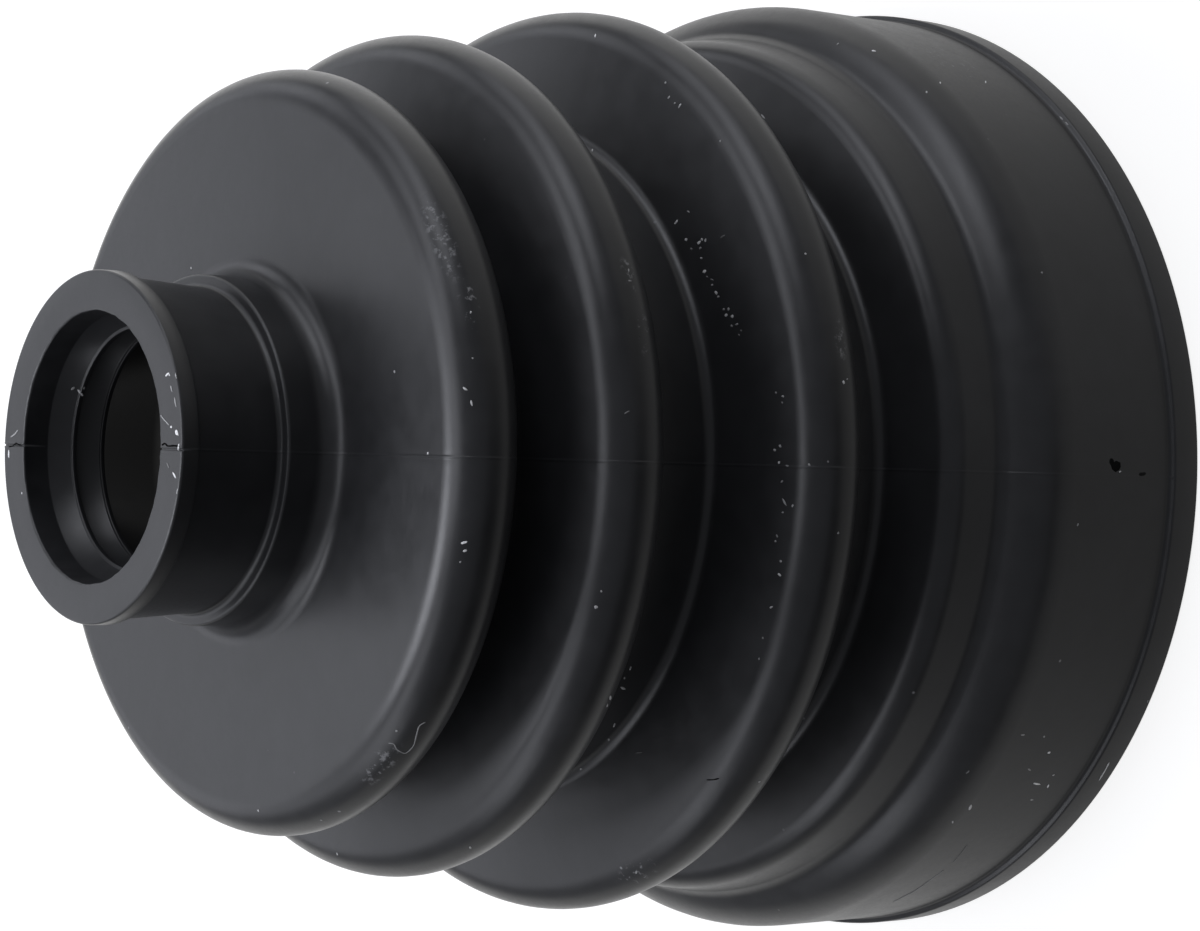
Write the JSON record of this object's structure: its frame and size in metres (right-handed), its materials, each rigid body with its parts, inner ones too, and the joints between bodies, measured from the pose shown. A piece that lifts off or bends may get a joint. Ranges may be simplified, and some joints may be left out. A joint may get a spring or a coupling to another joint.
{
  "type": "bellows boot",
  "caption": "Hollow moulded rubber bellows boot: narrow shaft collar, rounded folds that widen step by step, and a wide clamp band with a rim.",
  "frame": {"origin": "centre of the wide rim, in the plane that the boot stands on", "axes": "+Z along the axis of the boot, from the wide rim up to the narrow shaft collar; any +X, the boot is round"},
  "size_m": [0.0976, 0.0976, 0.0946],
  "materials": {
    "rubber": "moulded black rubber, semi-matte with a faint waxy sheen"
  },
  "bodies": {
    "root": {"bellows_boot": "rubber"}
  },
  "joints": []
}
